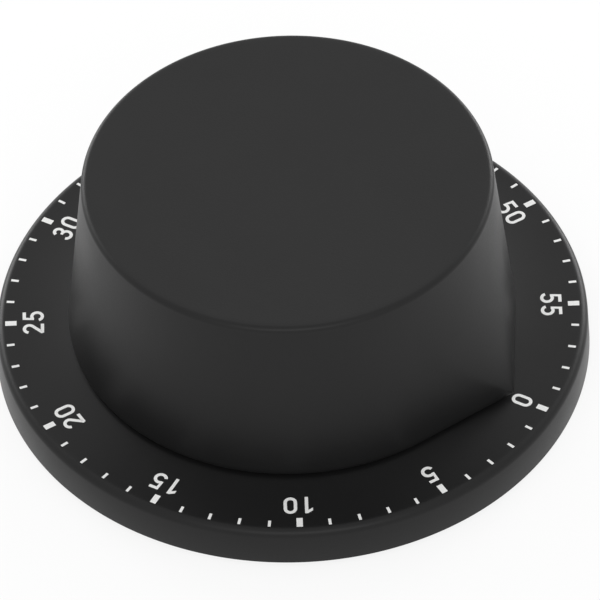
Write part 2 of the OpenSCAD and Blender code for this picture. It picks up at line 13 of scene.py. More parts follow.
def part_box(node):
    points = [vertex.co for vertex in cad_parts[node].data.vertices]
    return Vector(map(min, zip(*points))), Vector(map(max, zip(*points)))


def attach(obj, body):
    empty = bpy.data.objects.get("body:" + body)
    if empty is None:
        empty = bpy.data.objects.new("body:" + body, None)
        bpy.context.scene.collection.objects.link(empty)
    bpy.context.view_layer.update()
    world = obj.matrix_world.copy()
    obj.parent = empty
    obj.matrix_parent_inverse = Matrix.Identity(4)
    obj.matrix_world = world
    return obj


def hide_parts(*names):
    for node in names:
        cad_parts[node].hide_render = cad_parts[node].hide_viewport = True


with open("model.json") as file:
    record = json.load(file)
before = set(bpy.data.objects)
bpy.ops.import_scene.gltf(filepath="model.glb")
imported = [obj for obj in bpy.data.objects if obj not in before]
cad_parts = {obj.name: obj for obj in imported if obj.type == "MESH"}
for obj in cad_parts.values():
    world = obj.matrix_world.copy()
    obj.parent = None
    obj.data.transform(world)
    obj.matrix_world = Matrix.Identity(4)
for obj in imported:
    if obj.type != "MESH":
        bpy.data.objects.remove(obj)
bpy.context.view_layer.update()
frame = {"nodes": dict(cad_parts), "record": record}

LOG = logging.getLogger("kitchen_timer")
MM = 0.001
Ring = list[Vector]
Outline = list[tuple[float, float]]


def polar(radius: float, degrees: float, z: float = 0.0) -> Vector:
    """Return the point at a radius, an angle from +X and a height."""
    angle = math.radians(degrees)
    return Vector((radius * math.cos(angle), radius * math.sin(angle), z))


def arc(centre: tuple[float, float], radius: float, start: float, end: float,
        steps: int) -> list[tuple[float, float]]:
    """Walk along a circular arc in a plane.

    Args:
        centre: The arc's centre.
        radius: The arc's radius.
        start: The angle of the first point, in degrees.
        end: The angle of the last point, in degrees.
        steps: How many equal steps to take.

    Returns:
        The steps + 1 points, in order.
    """
    angles = [math.radians(start + (end - start) * i / steps) for i in range(steps + 1)]
    return [(centre[0] + radius * math.cos(a), centre[1] + radius * math.sin(a))
            for a in angles]


class Mesher:
    """Collects vertices and faces in millimetres and makes one object of them."""

    def __init__(self, name: str) -> None:
        """Start an empty mesh with the given name."""
        self.name = name
        self.bm = bmesh.new()

    def skin(self, columns: list[Ring], loop: bool) -> None:
        """Span quads between neighbouring columns, and from the last back to the first.

        Args:
            columns: Outlines with the same number of points, one after the other.
            loop: Whether each outline closes on itself.
        """
        rows = [[self.bm.verts.new(p * MM) for p in column] for column in columns]
        count = len(columns[0])
        for a, b in zip(rows, rows[1:] + rows[:1]):
            for i in range(count if loop else count - 1):
                j = (i + 1) % count
                self.bm.faces.new((a[i], b[i], b[j], a[j]))

    def lathe(self, profile: list[tuple[float, float]], segments: int, loop: bool = True,
              centre: Vector = Vector()) -> None:
        """Turn a profile of (radius, height) points about a vertical axis.

        Args:
            profile: The outline, counterclockwise in the (radius, height) plane.
            segments: How many steps make the full turn.
            loop: Whether the outline closes on itself; otherwise it starts and ends on the axis.
            centre: Where the axis stands.
        """
        columns = [[centre + polar(r, 360 * i / segments, z) for r, z in profile]
                   for i in range(segments)]
        self.skin(columns, loop)

    def block(self, turn: Matrix, low: Vector, high: Vector) -> None:
        """Add a box between two corners, turned about the origin."""
        corners = [(x, y, z) for z in (low.z, high.z) for x, y in
                   ((low.x, low.y), (high.x, low.y), (high.x, high.y), (low.x, high.y))]
        made = [self.bm.verts.new(turn @ Vector(c) * MM) for c in corners]
        for face in ((0, 3, 2, 1), (4, 5, 6, 7), (0, 1, 5, 4), (1, 2, 6, 5), (2, 3, 7, 6),
                     (3, 0, 4, 7)):
            self.bm.faces.new([made[i] for i in face])

    def finish(self, sharp_degrees: float = 35.0) -> bpy.types.Object:
        """Merge doubled points, turn every face outwards and make the object.

        Args:
            sharp_degrees: Edges that turn by more than this stay sharp.

        Returns:
            The new object, linked to the scene.
        """
        bmesh.ops.remove_doubles(self.bm, verts=self.bm.verts, dist=1e-7)
        bmesh.ops.dissolve_degenerate(self.bm, edges=self.bm.edges, dist=1e-7)
        bmesh.ops.recalc_face_normals(self.bm, faces=self.bm.faces)
        mesh = bpy.data.meshes.new(self.name)
        self.bm.to_mesh(mesh)
        self.bm.free()
        mesh.shade_smooth()
        mesh.set_sharp_from_angle(angle=math.radians(sharp_degrees))
        made = bpy.data.objects.new(self.name, mesh)
        bpy.context.scene.collection.objects.link(made)
        return made


class Kit:
    """A node tree with short ways to add and join nodes."""

    def __init__(self, tree: bpy.types.NodeTree) -> None:
        """Hold the tree that the other methods add to."""
        self.tree = tree

    def add(self, kind: str, **values) -> bpy.types.Node:
        """Add a node and set its properties and its input sockets by name."""
        node = self.tree.nodes.new(kind)
        for key, value in values.items():
            if hasattr(node, key):
                setattr(node, key, value)
            else:
                node.inputs[key.replace("_", " ")].default_value = value
        return node

    def join(self, source: bpy.types.NodeSocket, target: bpy.types.NodeSocket) -> None:
        """Link an output to an input."""
        self.tree.links.new(source, target)

    def ramp(self, source: bpy.types.NodeSocket, low: float, high: float,
             to_low: float, to_high: float) -> bpy.types.NodeSocket:
        """Map a value from one range to another, held at both ends, and return it."""
        node = self.add("ShaderNodeMapRange")
        for key, value in (("From Min", low), ("From Max", high),
                           ("To Min", to_low), ("To Max", to_high)):
            node.inputs[key].default_value = value
        self.join(source, node.inputs["Value"])
        return node.outputs["Result"]

    def maths(self, operation: str, a, b) -> bpy.types.NodeSocket:
        """Do sums with two sockets or numbers and return the result."""
        node = self.add("ShaderNodeMath", operation=operation)
        for socket, value in zip(node.inputs, (a, b)):
            if isinstance(value, bpy.types.NodeSocket):
                self.join(value, socket)
            else:
                socket.default_value = value
        return node.outputs[0]


def new_group(name: str, inputs: dict[str, float], outputs: tuple[str, ...]
              ) -> tuple[bpy.types.NodeTree, Kit, bpy.types.Node, bpy.types.Node]:
    """Make an empty shader node group with float sockets.

    Args:
        name: The group's name.
        inputs: The input sockets and their usual values.
        outputs: The output sockets.

    Returns:
        The group, a kit for it, its input node and its output node.
    """
    group = bpy.data.node_groups.new(name, "ShaderNodeTree")
    for key, value in inputs.items():
        socket = group.interface.new_socket(key, in_out="INPUT", socket_type="NodeSocketFloat")
        socket.default_value = value
    for key in outputs:
        group.interface.new_socket(key, in_out="OUTPUT", socket_type="NodeSocketFloat")
    kit = Kit(group)
    return group, kit, kit.add("NodeGroupInput"), kit.add("NodeGroupOutput")


class Effects:
    """The shared effects, each a node group that is built once."""

    def __init__(self) -> None:
        """Build every group."""
        self.grain = self._grain()
        self.handling = self._handling()
        self.turning = self._turning()

    def _grain(self) -> bpy.types.NodeTree:
        """Build the fine pebbled grain of a spark-eroded mould."""
        group, kit, given, made = new_group("moulded_grain", {"Size": 0.2, "Softness": 0.5},
                                            ("Height", "Tone"))
        place = kit.add("ShaderNodeTexCoord")
        scale = kit.maths("DIVIDE", 1.0 / MM, given.outputs["Size"])
        fine = kit.add("ShaderNodeTexNoise", Detail=3.0, Roughness=0.6)
        kit.join(place.outputs["Object"], fine.inputs["Vector"])
        kit.join(scale, fine.inputs["Scale"])
        pebble = kit.add("ShaderNodeTexVoronoi", feature="SMOOTH_F1")
        kit.join(place.outputs["Object"], pebble.inputs["Vector"])
        kit.join(kit.maths("MULTIPLY", scale, 0.8), pebble.inputs["Scale"])
        kit.join(given.outputs["Softness"], pebble.inputs["Smoothness"])
        height = kit.maths("ADD", kit.maths("MULTIPLY", fine.outputs["Fac"], 0.6),
                           kit.maths("MULTIPLY", pebble.outputs["Distance"], 0.4))
        kit.join(height, made.inputs["Height"])
        kit.join(kit.ramp(fine.outputs["Fac"], 0.35, 0.65, 0.0, 1.0), made.inputs["Tone"])
        return group

    def _handling(self) -> bpy.types.NodeTree:
        """Build the broad, faint unevenness that hands leave on a surface."""
        group, kit, given, made = new_group("handling", {"Size": 12.0}, ("Smudge", "Speck"))
        place = kit.add("ShaderNodeTexCoord")
        scale = kit.maths("DIVIDE", 1.0 / MM, given.outputs["Size"])
        broad = kit.add("ShaderNodeTexNoise", Detail=4.0, Roughness=0.55, Distortion=0.6)
        kit.join(place.outputs["Object"], broad.inputs["Vector"])
        kit.join(scale, broad.inputs["Scale"])
        kit.join(kit.ramp(broad.outputs["Fac"], 0.35, 0.7, 0.0, 1.0), made.inputs["Smudge"])
        speck = kit.add("ShaderNodeTexNoise", Detail=2.0, Roughness=0.5)
        kit.join(place.outputs["Object"], speck.inputs["Vector"])
        kit.join(kit.maths("MULTIPLY", scale, 9.0), speck.inputs["Scale"])
        kit.join(kit.ramp(speck.outputs["Fac"], 0.68, 0.8, 0.0, 1.0), made.inputs["Speck"])
        return group

    def _turning(self) -> bpy.types.NodeTree:
        """Build the fine rings that a lathe tool leaves round a vertical axis."""
        group, kit, given, made = new_group(
            "turning_marks", {"Pitch": 0.15, "Centre X": 0.0, "Centre Y": 0.0},
            ("Height", "Tone"))
        place = kit.add("ShaderNodeTexCoord")
        split = kit.add("ShaderNodeSeparateXYZ")
        kit.join(place.outputs["Object"], split.inputs[0])
        x = kit.maths("SUBTRACT", split.outputs["X"], given.outputs["Centre X"])
        y = kit.maths("SUBTRACT", split.outputs["Y"], given.outputs["Centre Y"])
        radius = kit.maths("SQRT", kit.maths("ADD", kit.maths("MULTIPLY", x, x),
                                             kit.maths("MULTIPLY", y, y)), 0.0)
        joined = kit.add("ShaderNodeCombineXYZ")
        kit.join(kit.maths("DIVIDE", radius, kit.maths("MULTIPLY", given.outputs["Pitch"], MM)),
                 joined.inputs["X"])
        kit.join(kit.maths("MULTIPLY", split.outputs["Z"], 1.0 / MM), joined.inputs["Z"])
        lines = kit.add("ShaderNodeTexNoise", Scale=1.0, Detail=2.0, Roughness=0.7)
        kit.join(joined.outputs["Vector"], lines.inputs["Vector"])
        kit.join(lines.outputs["Fac"], made.inputs["Height"])
        kit.join(kit.ramp(lines.outputs["Fac"], 0.3, 0.7, 0.0, 1.0), made.inputs["Tone"])
        return group


class Finish:
    """What every finish shares: a material with one Principled shader."""

    @staticmethod
    def start(name: str) -> tuple[bpy.types.Material, Kit, bpy.types.Node]:
        """Make a node material.

        Args:
            name: The material's name.

        Returns:
            The material, a kit for its tree and its Principled shader.
        """
        material = bpy.data.materials.new(name)
        material.use_nodes = True
        kit = Kit(material.node_tree)
        return material, kit, material.node_tree.nodes["Principled BSDF"]

    @staticmethod
    def effect(kit: Kit, group: bpy.types.NodeTree, **values: float) -> bpy.types.Node:
        """Place an effect in a material with its own values, and return its node."""
        node = kit.add("ShaderNodeGroup", node_tree=group)
        for key, value in values.items():
            node.inputs[key.replace("_", " ")].default_value = value
        return node

    @staticmethod
    def tint(kit: Kit, factor: bpy.types.NodeSocket, low: tuple[float, ...],
             high: tuple[float, ...]) -> bpy.types.NodeSocket:
        """Blend between two colours by a factor and return the blend."""
        mix = kit.add("ShaderNodeMix", data_type="RGBA")
        kit.join(factor, mix.inputs["Factor"])
        mix.inputs["A"].default_value = (*low, 1.0)
        mix.inputs["B"].default_value = (*high, 1.0)
        return mix.outputs["Result"]


@dataclass(frozen=True)
class MouldedPlastic(Finish):
    """Black plastic from a grained mould.

    Attributes:
        name: The material's name.
        shade: The brightness of the plastic, as a linear grey.
        roughness: The usual roughness.
        grain_mm: The size of one pebble of the grain.
        depth_mm: The depth of the grain.
        specular: The strength of the clear reflection, where 0.5 is plain plastic.
    """

    name: str
    shade: float
    roughness: float
    grain_mm: float
    depth_mm: float
    specular: float = 0.5

    def build(self, effects: Effects) -> bpy.types.Material:
        """Return the material, with its grain, its faint smudges and its lighter specks."""
        material, kit, shader = self.start(self.name)
        grain = self.effect(kit, effects.grain, Size=self.grain_mm, Softness=0.6)
        hands = self.effect(kit, effects.handling, Size=14.0)
        shader.inputs["Specular IOR Level"].default_value = self.specular
        low = tuple(self.shade * k for k in (0.9, 0.9, 0.92))
        high = tuple(self.shade * k for k in (1.1, 1.1, 1.11))
        blend = kit.maths("ADD", kit.maths("MULTIPLY", grain.outputs["Tone"], 0.6),
                          kit.maths("MULTIPLY", hands.outputs["Smudge"], 0.4))
        kit.join(self.tint(kit, blend, low, high), shader.inputs["Base Color"])
        rough = kit.maths("ADD", kit.ramp(hands.outputs["Smudge"], 0, 1, -0.02, 0.03),
                          kit.ramp(grain.outputs["Tone"], 0, 1, self.roughness - 0.02,
                                   self.roughness + 0.02))
        kit.join(rough, shader.inputs["Roughness"])
        bump = kit.add("ShaderNodeBump", Strength=1.0, Distance=self.depth_mm * MM)
        kit.join(grain.outputs["Height"], bump.inputs["Height"])
        kit.join(bump.outputs["Normal"], shader.inputs["Normal"])
        return material


@dataclass(frozen=True)
class PrintedInk(Finish):
    """White pad-printed ink.

    Attributes:
        name: The material's name.
        colour: The ink's colour.
    """

    name: str
    colour: tuple[float, float, float]

    def build(self, effects: Effects) -> bpy.types.Material:
        """Return the material, with the slight thinning of the ink over the grain."""
        material, kit, shader = self.start(self.name)
        grain = self.effect(kit, effects.grain, Size=0.12, Softness=0.4)
        thin = tuple(k * 0.88 for k in self.colour)
        kit.join(self.tint(kit, grain.outputs["Tone"], thin, self.colour),
                 shader.inputs["Base Color"])
        kit.join(kit.ramp(grain.outputs["Tone"], 0, 1, 0.5, 0.62), shader.inputs["Roughness"])
        return material


@dataclass(frozen=True)
class SoftRubber(Finish):
    """Dull black rubber with a little dust.

    Attributes:
        name: The material's name.
        shade: The brightness of the rubber, as a linear grey.
    """

    name: str
    shade: float

    def build(self, effects: Effects) -> bpy.types.Material:
        """Return the material, with its dust and its faint grain."""
        material, kit, shader = self.start(self.name)
        grain = self.effect(kit, effects.grain, Size=0.35, Softness=0.8)
        hands = self.effect(kit, effects.handling, Size=6.0)
        dusty = tuple(self.shade * k for k in (2.6, 2.5, 2.3))
        kit.join(self.tint(kit, kit.maths("MULTIPLY", hands.outputs["Speck"], 0.5),
                           (self.shade,) * 3, dusty), shader.inputs["Base Color"])
        kit.join(kit.ramp(grain.outputs["Tone"], 0, 1, 0.78, 0.92), shader.inputs["Roughness"])
        bump = kit.add("ShaderNodeBump", Strength=1.0, Distance=0.01 * MM)
        kit.join(grain.outputs["Height"], bump.inputs["Height"])
        kit.join(bump.outputs["Normal"], shader.inputs["Normal"])
        return material


@dataclass(frozen=True)
class WorkedMetal(Finish):
    """Turned, pressed or rolled metal.

    Attributes:
        name: The material's name.
        colour: The metal's colour.
        tarnish: The colour of its duller patches.
        roughness: The usual roughness.
        pitch_mm: The distance between the tool's marks.
    """

    name: str
    colour: tuple[float, float, float]
    tarnish: tuple[float, float, float]
    roughness: float
    pitch_mm: float

    def build(self, effects: Effects, centre: Vector = Vector()) -> bpy.types.Material:
        """Dress the metal with its tool marks and its tarnish.

        Args:
            effects: The shared effects.
            centre: The axis that the piece was turned on.

        Returns:
            The material.
        """
        material, kit, shader = self.start(self.name)
        marks = self.effect(kit, effects.turning, Pitch=self.pitch_mm,
                            Centre_X=centre.x, Centre_Y=centre.y)
        hands = self.effect(kit, effects.handling, Size=5.0)
        shader.inputs["Metallic"].default_value = 1.0
        kit.join(self.tint(kit, hands.outputs["Smudge"], self.colour, self.tarnish),
                 shader.inputs["Base Color"])
        rough = kit.maths("ADD", kit.ramp(hands.outputs["Smudge"], 0, 1, 0.0, 0.1),
                          kit.ramp(marks.outputs["Tone"], 0, 1, self.roughness - 0.05,
                                   self.roughness + 0.05))
        kit.join(rough, shader.inputs["Roughness"])
        bump = kit.add("ShaderNodeBump", Strength=0.6, Distance=0.008 * MM)
        kit.join(marks.outputs["Height"], bump.inputs["Height"])
        kit.join(bump.outputs["Normal"], shader.inputs["Normal"])
        return material


def dress(piece: bpy.types.Object, material: bpy.types.Material) -> None:
    """Give a piece one material all over."""
    piece.data.materials.clear()
    piece.data.materials.append(material)


def place(piece: bpy.types.Object, body: str, slot: str, *nodes: str) -> None:
    """Let a piece ride on a body and stand for CAD nodes.

    Args:
        piece: The new piece.
        body: The CAD body that it moves with.
        slot: The record's material slot; not used.
        nodes: The CAD nodes that it stands for.
    """
    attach(piece, body)
    if nodes:
        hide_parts(*nodes)
    LOG.info("%s rides on %s", piece.name, body)


@dataclass
class Knob:
    """The tapered knob: a round shell whose foot draws out into a pointer.

    Attributes:
        top_r: Radius of the flat top.
        edge: Radius of the round along the top's edge.
        lip: Radius of the small round along the lower edge.
        tip_r: Radius of the pointer's tip.
        wall: Thickness of the side.
        roof: Thickness of the top.
        hub_r: Outer radius of the hub inside.
        bore_r: Radius of the hub's bore.
        rib: Thickness of the stop rib inside.
        band: Height of the small round along the lower edge.
        flare: How late the pointer grows out of the side, where 1 is evenly.
        side_steps: How many steps make the height of the side.
    """

    top_r: float = 27.45
    edge: float = 0.8
    lip: float = 0.25
    tip_r: float = 0.5
    wall: float = 1.8
    roof: float = 2.2
    hub_r: float = 3.4
    bore_r: float = 1.55
    rib: float = 1.1
    band: float = 0.3
    flare: float = 2.0
    side_steps: int = 12

    def __post_init__(self) -> None:
        """Take the foot's size and the heights from the frame."""
        low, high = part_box("knob")
        self.foot_z, self.top_z = low.z / MM, high.z / MM
        self.foot_r, self.point_r = -low.x / MM, high.x / MM

    def foot(self, degrees: float, along: float = 1.0) -> Vector:
        """Find where the foot's outline faces a direction.

        Args:
            degrees: The direction that the outline faces.
            along: Where to stop on the straight flank, from the tip at 0 to the round at 1.

        Returns:
            The point of the outline, at height 0.
        """
        tip = Vector((self.point_r - self.tip_r, 0, 0)) + polar(self.tip_r, degrees)
        if abs(degrees) < self.flank():
            return tip
        return tip.lerp(polar(self.foot_r, degrees), along)

    def flank(self) -> float:
        """Return the direction in degrees that the pointer's straight flanks face."""
        return math.degrees(math.acos((self.foot_r - self.tip_r) /
                                      (self.point_r - self.tip_r)))

    def directions(self) -> list[tuple[float, float]]:
        """List each column's direction and its place along the flank, in order round."""
        flank, round_steps, tip_steps, flank_steps = self.flank(), 220, 28, 10
        columns = [(flank + (360 - 2 * flank) * i / round_steps, 1.0)
                   for i in range(round_steps + 1)]
        columns = [(d if d <= 180 else d - 360, a) for d, a in columns]
        columns += [(-flank, 1 - i / flank_steps) for i in range(1, flank_steps + 1)]
        columns += [(-flank + 2 * flank * i / tip_steps, 0.0) for i in range(1, tip_steps)]
        columns += [(flank, i / flank_steps) for i in range(flank_steps)]
        return columns

    def column(self, degrees: float, along: float) -> Ring:
        """Draw the shell's section that faces one direction, from the top to the ceiling."""
        foot, out = self.foot(degrees, along), polar(1, degrees)
        top_z, foot_z = self.top_z, self.foot_z
        brow = polar(self.top_r, degrees, top_z - self.edge)
        points = [Vector((0, 0, top_z)), polar(self.top_r - self.edge - 0.6, degrees, top_z)]
        points += [polar(r, degrees, z) for r, z in arc(
            (self.top_r - self.edge, top_z - self.edge), self.edge, 90, 0, 8)]
        cone_toe = polar(self.foot_r, degrees, foot_z + self.band)
        stretch = foot - polar(self.foot_r, degrees)
        shares = [0.02] + [i / self.side_steps for i in range(1, self.side_steps)] + [0.98, 1.0]
        points += [brow.lerp(cone_toe, k) + stretch * k ** self.flare for k in shares]
        toe = cone_toe + stretch
        points += [toe - out * self.lip * (1 - math.cos(a)) -
                   Vector((0, 0, self.band * math.sin(a))) for a in (0.5, 1.05, math.pi / 2)]
        inner_foot = polar(self.foot_r - self.wall, degrees, foot_z)
        inner_top = polar(self.top_r - self.wall, degrees, top_z - self.roof)
        points += [inner_foot, inner_foot.lerp(inner_top, 0.5),
                   inner_foot.lerp(inner_top, 0.96), inner_top,
                   Vector((0, 0, top_z - self.roof))]
        return points

    def build(self, material: bpy.types.Material) -> None:
        """Make the shell with its hub and its stop rib, and let it stand for the CAD knob."""
        mesher = Mesher("knob_shell")
        mesher.skin([self.column(d, a) for d, a in self.directions()], loop=False)
        ceiling = self.top_z - self.roof
        hub_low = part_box("knob_clip")[0].z / MM - 1.05
        mesher.lathe([(self.bore_r, hub_low), (self.hub_r, hub_low), (self.hub_r, ceiling + 0.1),
                      (self.bore_r, ceiling + 0.1)], 48)
        low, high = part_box("stop_pin")
        pin = (low + high) / 2 / MM
        half_step = 3.0
        turn = Matrix.Rotation(math.atan2(pin.y, pin.x) - math.radians(half_step), 3, "Z")
        inner, outer = pin.xy.length - 1.3, self.top_r - self.wall / 2
        mesher.block(turn, Vector((inner, -self.rib / 2, high.z / MM - 1.6)),
                     Vector((outer, self.rib / 2, ceiling + 0.1)))
        shell = mesher.finish()
        dress(shell, material)
        place(shell, "winder", "knob_plastic", "knob")


@dataclass
class DialCase:
    """The base: its rim, its dial's plate and the collar that stands inside the knob.

    Attributes:
        lean: How far the rim leans in from its foot to its rounded edge.
        rim_round: Radius of the rounded edge.
        rim_wall: Thickness of the rim.
        plate: Thickness of the dial's plate.
        collar_r: Outer radius of the collar.
        collar_h: Height of the collar above the dial.
        collar_t: Thickness of the collar.
    """

    lean: float = 0.2
    rim_round: float = 1.1
    rim_wall: float = 2.0
    plate: float = 1.6
    collar_r: float = 27.2
    collar_h: float = 1.8
    collar_t: float = 1.0

    def __post_init__(self) -> None:
        """Take the outer size and the heights from the frame."""
        low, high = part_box("dial_case")
        self.outer_r, self.foot_z = high.x / MM, low.z / MM
        self.dial_z = high.z / MM - self.collar_h

    def profile(self) -> list[tuple[float, float]]:
        """Return the section of the turned body, counterclockwise."""
        rim_r = self.outer_r - self.lean
        edge, inside = 0.25, rim_r - self.rim_wall
        collar_in, top = self.collar_r - self.collar_t, self.dial_z + self.collar_h
        points = [(inside, self.foot_z), (self.outer_r - edge, self.foot_z)]
        points += arc((self.outer_r - edge, self.foot_z + edge), edge, -60, 0, 3)
        points += [(rim_r + 0.02, self.dial_z - self.rim_round - 0.2)]
        points += arc((rim_r - self.rim_round, self.dial_z - self.rim_round),
                      self.rim_round, 0, 90, 10)
        points += [(rim_r - self.rim_round - 0.4, self.dial_z),
                   (self.collar_r + 0.3, self.dial_z), (self.collar_r, self.dial_z + 0.15),
                   (self.collar_r, top - 0.15), (self.collar_r - 0.15, top),
                   (collar_in, top), (collar_in, self.dial_z - self.plate),
                   (inside, self.dial_z - self.plate)]
        return points

    def build(self, material: bpy.types.Material) -> None:
        """Make the body with its screw bosses, and let it stand for the CAD case."""
        mesher = Mesher("dial_body")
        mesher.lathe(self.profile(), 320)
        boss_r, boss_at, hole_r, boss_low = 3.0, 30.0, 1.02, 3.0
        boss_top = self.dial_z - self.plate / 2
        for degrees in (0, 120, 240):
            mesher.lathe([(hole_r, boss_low), (boss_r, boss_low), (boss_r, boss_top),
                          (hole_r, boss_top)], 32, centre=polar(boss_at, degrees))
        body = mesher.finish()
        dress(body, material)
        place(body, "case", "dial_plastic", "dial_case")


class Numeral:
    """One figure drawn as flat closed outlines, one unit high and centred on its width."""

    STROKE = 0.155
    WIDTH = 0.62

    @classmethod
    def ribbon(cls, line: Outline) -> Outline:
        """Widen a line into a closed outline with square ends and mitred corners."""
        points = [Vector(p) for p in line]
        left, right = [], []
        for i, p in enumerate(points):
            before = (p - points[i - 1]).normalized() if i else None
            after = (points[i + 1] - p).normalized() if i + 1 < len(points) else None
            a, b = before or after, after or before
            normal = Vector((-(a + b).y, (a + b).x)).normalized()
            reach = cls.STROKE / 2 / max(0.45, normal.dot(Vector((-a.y, a.x))))
            left.append(tuple(p + normal * reach))
            right.append(tuple(p - normal * reach))
        return left + right[::-1]

    @classmethod
    def nought(cls) -> list[Outline]:
        """Draw a tall ring with straight sides."""
        rings = []
        for inset in (0.0, cls.STROKE):
            r = cls.WIDTH / 2 - inset
            high = 0.5 - inset - r
            rings.append(arc((0, 0.5 + high), r, 0, 180, 16) + arc((0, 0.5 - high), r, 180, 360, 16))
        return rings

    @classmethod
    def one(cls) -> list[Outline]:
        """Draw a stem with a short flag."""
        left, right = -0.02, -0.02 + cls.STROKE
        return [[(left, 0), (right, 0), (right, 1), (left + 0.02, 1), (-0.23, 0.84),
                 (-0.23, 0.67), (left, 0.80)]]

    @classmethod
    def two(cls) -> list[Outline]:
        """Draw a bow that runs down into a flat foot."""
        half, mid = cls.STROKE / 2, (cls.WIDTH - cls.STROKE) / 2
        bow = arc((0, 1 - half - mid), mid, 170, -35, 14)
        return [cls.ribbon(bow + [(-mid + 0.02, half + 0.03), (-mid + 0.03, half),
                                  (cls.WIDTH / 2, half)])]

    @classmethod
    def three(cls) -> list[Outline]:
        """Draw two bowls that meet in a waist, with a stub towards the left."""
        upper, lower = 0.2775, cls.WIDTH / 2
        high, low = 1 - upper, lower
        waist = (high + low + (lower ** 2 - upper ** 2) / (high - low)) / 2
        upper_end = math.degrees(math.asin((waist - high) / upper))
        lower_start = math.degrees(math.asin((waist - low) / lower))
        thin = cls.STROKE
        return [arc((0, high), upper, 165, upper_end, 12) +
                arc((0, low), lower, lower_start, -165, 16) +
                arc((0, low), lower - thin, -165, 90, 14) +
                [(-0.08, low + lower - thin), (-0.08, high - upper + thin)] +
                arc((0, high), upper - thin, -90, 165, 14)]

    @classmethod
    def four(cls) -> list[Outline]:
        """Draw a stem crossed by a bar, with a slope up to its top."""
        left, right = 0.06, 0.06 + cls.STROKE
        return [[(left, 0), (right, 0), (right, 0.2), (0.31, 0.2), (0.31, 0.34), (right, 0.34),
                 (right, 0.62), (left, 0.62), (left, 0.34), (-0.14, 0.34), (0.1, 1),
                 (-0.07, 1), (-0.31, 0.33), (-0.31, 0.2), (left, 0.2)]]

    @classmethod
    def five(cls) -> list[Outline]:
        """Draw a flat head, a short stem and an open bowl."""
        bowl, middle = 0.325, (-0.01, 0.325)
        return [[(-0.235, 0.47), (-0.2, 1), (0.27, 1), (0.27, 1 - cls.STROKE),
                 (-0.075, 1 - cls.STROKE), (-0.1, 0.634)] +
                arc(middle, bowl, 106, -160, 18) +
                arc(middle, bowl - cls.STROKE, -160, 125, 18)]

    @classmethod
    def outlines(cls, figure: str) -> list[Outline]:
        """Return the closed outlines of a figure, holes included."""
        drawn = {"0": cls.nought, "1": cls.one, "2": cls.two, "3": cls.three, "4": cls.four,
                 "5": cls.five}
        return drawn[figure]()


@dataclass
class DialPrint:
    """The white print: sixty minute marks and a number at every fifth.

    Attributes:
        mark_r: Radius of the middle of the thin marks.
        mark: Length and width of a thin mark.
        bold_r: Radius of the middle of the bold marks.
        bold: Length and width of a bold mark.
        figure_r: Radius of the figures' feet.
        figure_h: Height of the figures.
        pitch: Distance between the middles of two figures, as a share of their height.
        ink: Thickness of the ink.
    """

    mark_r: float = 38.14
    mark: tuple[float, float] = (1.03, 0.38)
    bold_r: float = 37.9
    bold: tuple[float, float] = (1.53, 0.83)
    figure_r: float = 33.43
    figure_h: float = 2.88
    pitch: float = 0.8
    ink: float = 0.02

    def outlines(self) -> list[list[Vector]]:
        """Lay out every mark and figure on the dial, in order round."""
        found = []
        for minute in range(60):
            turn = Matrix.Rotation(math.radians(-6 * minute), 3, "Z")
            middle, (length, width) = ((self.bold_r, self.bold) if minute % 5 == 0
                                       else (self.mark_r, self.mark))
            corners = [(-1, -1), (1, -1), (1, 1), (-1, 1)]
            found.append([turn @ Vector((middle + x * length / 2, y * width / 2, 0))
                          for x, y in corners])
            if minute % 5 == 0:
                label = str(minute)
                for place_no, figure in enumerate(label):
                    shift = (place_no - (len(label) - 1) / 2) * self.pitch
                    for outline in Numeral.outlines(figure):
                        found.append([turn @ Vector((
                            self.figure_r + y * self.figure_h,
                            -(x + shift) * self.figure_h, 0)) for x, y in outline])
        return found

    def build(self, dial_z: float, material: bpy.types.Material) -> None:
        """Make the print as thin filled shapes that lie on the dial."""
        curve = bpy.data.curves.new("dial_numbers", "CURVE")
        curve.dimensions = "2D"
        curve.fill_mode = "BOTH"
        curve.extrude = self.ink / 2 * MM
        for outline in self.outlines():
            spline = curve.splines.new("POLY")
            spline.points.add(len(outline) - 1)
            for point, at in zip(spline.points, outline):
                point.co = (at.x * MM, at.y * MM, 0, 1)
            spline.use_cyclic_u = True
        drawn = bpy.data.objects.new("dial_numbers_outline", curve)
        bpy.context.scene.collection.objects.link(drawn)
        bpy.context.view_layer.update()
        mesh = bpy.data.meshes.new_from_object(
            drawn.evaluated_get(bpy.context.evaluated_depsgraph_get()))
        bpy.data.objects.remove(drawn)
        mesh.transform(Matrix.Translation((0, 0, (dial_z + self.ink / 2) * MM)))
        made = bpy.data.objects.new("dial_numbers", mesh)
        bpy.context.scene.collection.objects.link(made)
        dress(made, material)
        place(made, "case", "dial_plastic")


class Hue(Enum):
    """The kinds of metal in the clockwork, by the record's material slot."""

    BRASS = "brass"
    STEEL = "steel"
    SPRING = "spring_steel"
    BELL = "bell_metal"


